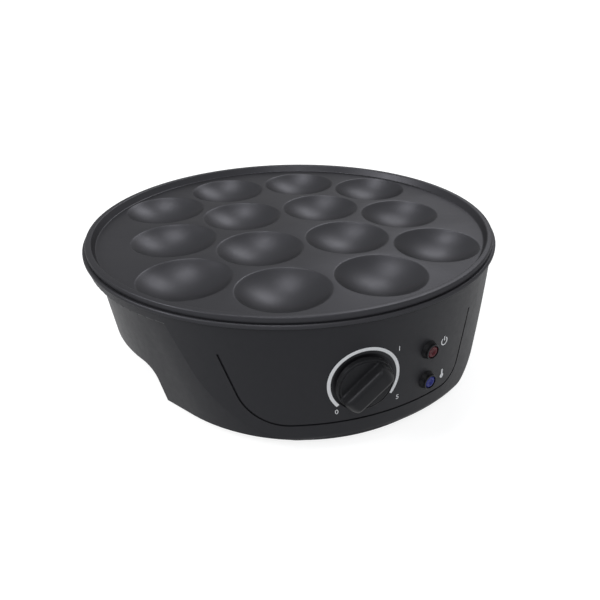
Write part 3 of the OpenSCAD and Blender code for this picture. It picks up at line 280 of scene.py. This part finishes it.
def soft_shading():
    """A geometry group that joins the faces of a mesh and keeps only its real edges sharp."""
    group = bpy.data.node_groups.new("soft_shading", "GeometryNodeTree")
    for way in ("INPUT", "OUTPUT"):
        group.interface.new_socket("Geometry", in_out=way, socket_type="NodeSocketGeometry")
    make, link = group.nodes.new, group.links.new
    start, end = make("NodeGroupInput"), make("NodeGroupOutput")
    drop = make("GeometryNodeRemoveAttribute")
    drop.inputs["Name"].default_value = "custom_normal"
    weld = make("GeometryNodeMergeByDistance")
    weld.inputs["Distance"].default_value = 1e-6
    faces = make("GeometryNodeSetShadeSmooth")
    edges = make("GeometryNodeSetShadeSmooth")
    edges.domain = "EDGE"
    edges.inputs["Shade Smooth"].default_value = False
    angle = make("GeometryNodeInputMeshEdgeAngle")
    sharp = make("FunctionNodeCompare")
    sharp.operation = "GREATER_THAN"
    sharp.inputs["B"].default_value = math.radians(SHARP_EDGE)
    link(start.outputs[0], drop.inputs["Geometry"])
    link(drop.outputs["Geometry"], weld.inputs["Geometry"])
    link(weld.outputs["Geometry"], faces.inputs["Geometry"])
    link(faces.outputs["Geometry"], edges.inputs["Geometry"])
    link(angle.outputs["Unsigned Angle"], sharp.inputs["A"])
    link(sharp.outputs["Result"], edges.inputs["Selection"])
    link(edges.outputs["Geometry"], end.inputs[0])
    return group


shading = soft_shading()
for name, obj in nodes.items():
    obj.data.materials.clear()
    obj.data.materials.append(materials[slot_of[name]])
    obj.modifiers.new("shading", "NODES").node_group = shading


# ---------------------------------------------------------------- prints on the panel
# How far a print reaches, from inside the panel's surface to just above it
PRINT_LOW, PRINT_HIGH = -0.12, 0.045
# The dial's arc: its middle from the dial's centre, and its ends in degrees from the top
ARC_MIDDLE = (0.45, 0.5)
ARC_R, ARC_WIDTH, ARC_START, ARC_STOP = 20.7, 1.95, -132, 128
# The signs beside the lamps: degrees round the panel from the front, and height
POWER_AT, HEAT_AT = (24.6, 51.9), (24.9, 26.9)
# The power sign: an open ring, half its gap in degrees, and the stroke in the gap
POWER_R, POWER_LINE, POWER_GAP = 2.5, 0.75, 38
POWER_STROKE = (0.3, 3.3)
# The heat sign, a thermometer: a ring for its bulb, and its stem
BULB_R, BULB_LINE = 0.95, 1.3
STEM, STEM_LINE = (1.2, 4.6), 1.4
# The numbers at the dial: text, and place from the dial's centre
NUMBERS = {
    "number_low": ("0", -15.7, -17.6),
    "number_middle": ("1", 21.2, 16.3),
    "number_high": ("5", 21.8, -17.0),
}
NUMBER_SIZE, NUMBER_EXTRUDE, NUMBER_STEPS = 4.4, 0.05, 6


def at_dial(x, z, lift):
    """A point on the panel from the dial's centre in the front view, lifted off the surface."""
    x, r = DIAL_X + x, PANEL_R + lift
    return Vector((x, AXIS_Y - math.sqrt(r * r - x * x), DIAL_Z + z)) * MM


def beside_lamp(at):
    """A function that lays points on the panel round a sign's place, x along the surface."""
    turn, height = at

    def place(x, z, lift):
        a, r = math.radians(turn) + x / PANEL_R, PANEL_R + lift
        return Vector((r * math.sin(a), AXIS_Y - r * math.cos(a), height + z)) * MM

    return place


def print_piece(name, strips, place):
    """A thin print: strips of (inner, outer) point pairs, open or closed, laid on the panel."""
    bm = bmesh.new()
    for pairs, closed in strips:
        rings = []
        for inner, outer in pairs:
            corners = ((inner, PRINT_LOW), (inner, PRINT_HIGH), (outer, PRINT_HIGH),
                       (outer, PRINT_LOW))
            rings.append([bm.verts.new(place(*p, lift)) for p, lift in corners])
        for a, b in zip(rings, rings[1:] + rings[:1] if closed else rings[1:]):
            for k in range(4):
                m = (k + 1) % 4
                bm.faces.new((a[k], a[m], b[m], b[k]))
        if not closed:
            bm.faces.new(rings[0][::-1])
            bm.faces.new(rings[-1])
    obj = mesh_object(name, bm)
    obj.data.materials.append(ink)
    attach(obj, "base")


def band(radius, width, start, stop, steps, centre=(0, 0)):
    """Pairs of points along an arc, its angles clockwise from the top."""
    pairs = []
    for i in range(steps + 1):
        a = math.radians(start + (stop - start) * i / steps)
        pairs.append([(centre[0] + r * math.sin(a), centre[1] + r * math.cos(a))
                      for r in (radius - width / 2, radius + width / 2)])
    return pairs


def upright(low, high, width):
    """Pairs of points along an upright stroke."""
    return [((-width / 2, z), (width / 2, z)) for z in (low, high)]


print_piece("dial_arc", [
    (band(ARC_R, ARC_WIDTH, ARC_START, ARC_STOP, 90, ARC_MIDDLE), False),
], at_dial)
print_piece("power_sign", [
    (band(POWER_R, POWER_LINE, POWER_GAP, 360 - POWER_GAP, 28), False),
    (upright(*POWER_STROKE, POWER_LINE), False),
], beside_lamp(POWER_AT))
print_piece("heat_sign", [
    (band(BULB_R, BULB_LINE, 0, 360, 20)[:-1], True),
    (upright(*STEM, STEM_LINE), False),
], beside_lamp(HEAT_AT))


def number(name, text, right, up):
    """A plain number, cut from the built-in face and laid on the panel."""
    curve = bpy.data.curves.new(name, "FONT")
    curve.body = text
    curve.size = NUMBER_SIZE
    curve.align_x, curve.align_y = "CENTER", "CENTER"
    curve.extrude = NUMBER_EXTRUDE
    curve.resolution_u = NUMBER_STEPS
    source = new_object(name + "_source", curve)
    bpy.context.view_layer.update()
    mesh = bpy.data.meshes.new_from_object(source)
    bpy.data.objects.remove(source)
    mesh.name = name
    for v in mesh.vertices:
        v.co = at_dial(right + v.co.x, up + v.co.y, PRINT_HIGH if v.co.z > 0 else PRINT_LOW)
    mesh.materials.clear()
    mesh.materials.append(ink)
    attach(new_object(name, mesh), "base")


for name, label in NUMBERS.items():
    number(name, *label)


# ---------------------------------------------------------------- knob
# The knob's own frame: u along its grip bar, v across it, and out from the panel's surface
KNOB_TURN = 42
KNOB_R, KNOB_BACK, KNOB_FACE, KNOB_FRONT = 17.0, 0.6, 3.7, 11.8
HUB_R, HUB_BACK, BORE_R, BORE_TOP = 5.5, -6.4, 3.05, 8.0
# The skirt: chamfer at its back, draft of its side, rounding, and how far it lies below the face
SKIRT_CHAMFER, SKIRT_DRAFT, SKIRT_ROUND, SKIRT_DROP = 0.4, 0.5, 0.6, 0.3
# The groove between skirt and face, and the rounding of the face's edge
GROOVE_IN, GROOVE_DEPTH, FACE_IN, FACE_ROUND = 1.5, 0.75, 1.9, 0.5
# The grip bar: half its width, draft, and roundings along its crest, at its ends and its foot
BAR_HALF, BAR_DRAFT, SIDE_ROUND, END_R, END_ROUND = 6.0, 0.5, 2.8, 15.8, 5.6
BAR_FOOT, BAR_SINK = 0.9, 0.3
# How square the bar's corners are, and the walk that puts more points near them
BAR_SQUARE = 14
WALK_ALONG, WALK_ACROSS = 0.6, 0.8


def at_knob(u, v, out):
    """A point of the knob at rest."""
    a = math.radians(KNOB_TURN)
    x, z = u * math.cos(a) - v * math.sin(a), u * math.sin(a) + v * math.cos(a)
    return Vector((DIAL_X + x, AXIS_Y - PANEL_R - out, DIAL_Z + z)) * MM


def quarter(r, out, rounding, steps):
    """Points of a rounding in the knob's profile, from its side to its front."""
    turns = [math.radians(90 * i / steps) for i in range(steps + 1)]
    return [(r + rounding * math.cos(t), out + rounding * math.sin(t)) for t in turns]


def turned(profile, count):
    """Loops of points round the knob's axis, one for each (radius, out) of the profile."""
    turns = [2 * math.pi * i / count for i in range(count)]
    return [[(r * math.cos(t), r * math.sin(t), out) for t in turns] for r, out in profile]


def fillet(depth, r):
    """How far a rounding of radius r moves a side, at a depth into the rounding."""
    depth = max(0.0, depth)
    return r - math.sqrt(max(0.0, r ** 2 - depth ** 2))


def grip_loops(count=120):
    """Outlines of the grip bar from the knob's face to its crest, its ends rounded over."""
    rise = KNOB_FRONT - KNOB_FACE
    levels = [KNOB_FACE - BAR_SINK]
    levels += [KNOB_FACE + BAR_FOOT * (1 - math.cos(math.radians(a))) for a in (0, 30, 60, 90)]
    levels += [KNOB_FACE + rise * share for share in (0.3, 0.42, 0.52, 0.6)]
    levels += [KNOB_FRONT - SIDE_ROUND * (1 - math.sin(math.radians(a))) for a in range(0, 91, 9)]
    loops = []
    for out in levels:
        up = max(0.0, out - KNOB_FACE)
        half = BAR_HALF - BAR_DRAFT * up / rise
        half += fillet(BAR_FOOT - up, BAR_FOOT)
        half -= fillet(out - (KNOB_FRONT - SIDE_ROUND), SIDE_ROUND)
        end = END_R - fillet(out - (KNOB_FRONT - END_ROUND), END_ROUND)
        reach = math.sqrt(end ** 2 - half ** 2 / 2)
        loop = []
        for i in range(count):
            t = 2 * math.pi * i / count
            t = math.atan2(WALK_ACROSS * half * math.sin(t), WALK_ALONG * reach * math.cos(t))
            r = ((abs(math.sin(t)) / half) ** BAR_SQUARE + end ** -BAR_SQUARE) ** (-1 / BAR_SQUARE)
            loop.append((r * math.cos(t), r * math.sin(t), out))
        loops.append(loop)
    return loops


def skinned(name, loops):
    """A closed skin over a stack of the knob's loops, its two ends capped."""
    bm = bmesh.new()
    rings = [[bm.verts.new(at_knob(*p)) for p in loop] for loop in loops]
    for low, high in zip(rings, rings[1:]):
        for i in range(len(low)):
            j = (i + 1) % len(low)
            bm.faces.new((low[i], low[j], high[j], high[i]))
    bm.faces.new(rings[0][::-1])
    bm.faces.new(rings[-1])
    return mesh_object(name, bm)


def combined(name, whole, other, operation):
    """Two objects joined, or one cut by the other, as one new object."""
    cut = whole.modifiers.new("combine", "BOOLEAN")
    cut.operation, cut.solver, cut.object = operation, "EXACT", other
    bpy.context.view_layer.update()
    result = whole.evaluated_get(bpy.context.evaluated_depsgraph_get())
    mesh = bpy.data.meshes.new_from_object(result)
    mesh.name = name
    for old in (whole, other):
        bpy.data.objects.remove(old)
    return new_object(name, mesh)


knob_body = skinned("knob_body", turned(
    [(HUB_R, HUB_BACK), (HUB_R, KNOB_BACK)]
    + [(KNOB_R - SKIRT_CHAMFER, KNOB_BACK), (KNOB_R, KNOB_BACK + SKIRT_CHAMFER)]
    + quarter(KNOB_R - SKIRT_DRAFT - SKIRT_ROUND, KNOB_FACE - SKIRT_DROP - SKIRT_ROUND,
              SKIRT_ROUND, 5)
    + [(KNOB_R - GROOVE_IN, KNOB_FACE - GROOVE_DEPTH)]
    + quarter(KNOB_R - FACE_IN - FACE_ROUND, KNOB_FACE - FACE_ROUND, FACE_ROUND, 4), 128))
grip_bar = skinned("grip_bar", grip_loops())
bore = skinned("bore", turned([(BORE_R, HUB_BACK - 1), (BORE_R, BORE_TOP)], 48))
knob_piece = combined("knob_with_bar", knob_body, grip_bar, "UNION")
knob_piece = combined("knob_moulding", knob_piece, bore, "DIFFERENCE")
knob_piece.data.materials.clear()
knob_piece.data.materials.append(materials["knob_plastic"])
knob_piece.modifiers.new("shading", "NODES").node_group = shading
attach(knob_piece, "knob")
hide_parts("knob")


# ---------------------------------------------------------------- floor and surroundings
FLOOR_HALF = 9
# The floor's grey as the object's light meets it, and as the camera sees it under its glow
FLOOR_BOUNCE, FLOOR_SHOWN = 0.75, 0.3
# The glow, as (distance from the object, strength), evens out the lamps' fall-off
GLOW_NEAR, GLOW_FAR = (0.3, 0.85), (1.6, 1.0)
# The sky that lights the object, a little blue
SKY_COLOR, SKY_LEVEL = (0.9, 0.95, 1.0), 0.4


def seen_directly(tree):
    """1 for camera, glossy and transmission rays, and 0 for those that light the object."""
    path = tree.node("ShaderNodeLightPath")
    total = path.outputs["Is Camera Ray"]
    for other in ("Is Glossy Ray", "Is Transmission Ray"):
        both = tree.node("ShaderNodeMath", operation="MAXIMUM")
        tree.link(total, both.inputs[0])
        tree.link(path.outputs[other], both.inputs[1])
        total = both.outputs[0]
    return total


def split_rays(tree, lighting, seen, out):
    """One shader for the rays that light the object, and another for those that show."""
    mix = tree.node("ShaderNodeMixShader")
    tree.link(seen_directly(tree), mix.inputs["Fac"])
    tree.link(lighting.outputs[0], mix.inputs[1])
    tree.link(seen.outputs[0], mix.inputs[2])
    tree.link(mix.outputs[0], tree.node(out).inputs["Surface"])


def floor_material():
    """A white floor that keeps the object's shadow."""
    mat = bpy.data.materials.new("floor_white")
    tree = Tree(mat)
    coords = tree.node("ShaderNodeTexCoord")
    distance = tree.node("ShaderNodeVectorMath", operation="LENGTH")
    strength = tree.node("ShaderNodeMapRange", From_Min=GLOW_NEAR[0], From_Max=GLOW_FAR[0],
                         To_Min=GLOW_NEAR[1], To_Max=GLOW_FAR[1])
    glow = tree.node("ShaderNodeEmission")
    shown = tree.node("ShaderNodeBsdfDiffuse", Color=(*[FLOOR_SHOWN] * 3, 1))
    seen = tree.node("ShaderNodeAddShader")
    bounce = tree.node("ShaderNodeBsdfDiffuse", Color=(*[FLOOR_BOUNCE] * 3, 1))
    tree.link(coords.outputs["Object"], distance.inputs[0])
    tree.link(distance.outputs["Value"], strength.inputs["Value"])
    tree.link(strength.outputs["Result"], glow.inputs["Strength"])
    tree.link(glow.outputs[0], seen.inputs[0])
    tree.link(shown.outputs[0], seen.inputs[1])
    split_rays(tree, bounce, seen, "ShaderNodeOutputMaterial")
    return mat


floor_mesh = bpy.data.meshes.new("floor")
corners = [(x * FLOOR_HALF, y * FLOOR_HALF, 0) for x, y in ((-1, -1), (1, -1), (1, 1), (-1, 1))]
floor_mesh.from_pydata(corners, [], [(0, 1, 2, 3)])
floor_mesh.materials.append(floor_material())
floor = new_object("floor", floor_mesh)

world = bpy.data.worlds.new("studio")
bpy.context.scene.world = world
sky = Tree(world)
soft = sky.node("ShaderNodeBackground", Color=(*SKY_COLOR, 1), Strength=SKY_LEVEL)
white = sky.node("ShaderNodeBackground", Color=(1, 1, 1, 1))
split_rays(sky, soft, white, "ShaderNodeOutputWorld")


# ---------------------------------------------------------------- lamps and camera
# Square lamps: place, side and power
LAMPS = {
    "back_lamp": ((0.79, 1.09, 1.4), 0.7, 12),
    "left_lamp": ((-1.31, 0, 0.97), 0.6, 11),
    "top_lamp": ((-0.1, 0.3, 1.52), 0.5, 6.4),
    "front_lamp": ((-0.34, -1.0, 1.24), 0.4, 4),
}
LAMP_AIM = Vector((0, 0, 0.05))
# The camera that gives the photograph's view, its turns in degrees
CAMERA_AT, CAMERA_TURNS = (-0.10156, -0.38831, 0.24415), (61.517, -0.2074, -18.5139)
SENSOR_WIDTH, LENS, SHIFT_X = 36, 36.66, -0.0562
CLIP_NEAR, CLIP_FAR = 0.01, 50

for name, (place, side, power) in LAMPS.items():
    light = bpy.data.lights.new(name, "AREA")
    light.shape = "RECTANGLE"
    light.size = light.size_y = side
    light.energy = power
    lamp = new_object(name, light)
    lamp.location = place
    lamp.rotation_euler = (LAMP_AIM - Vector(place)).to_track_quat("-Z", "Y").to_euler()

camera_data = bpy.data.cameras.new("camera")
camera_data.sensor_width = SENSOR_WIDTH
camera_data.lens = LENS
camera_data.shift_x = SHIFT_X
camera_data.clip_start, camera_data.clip_end = CLIP_NEAR, CLIP_FAR
camera = new_object("camera", camera_data)
camera.location = CAMERA_AT
camera.rotation_euler = Euler([math.radians(a) for a in CAMERA_TURNS])
bpy.context.scene.camera = camera

bpy.context.scene.view_settings.view_transform = "Standard"
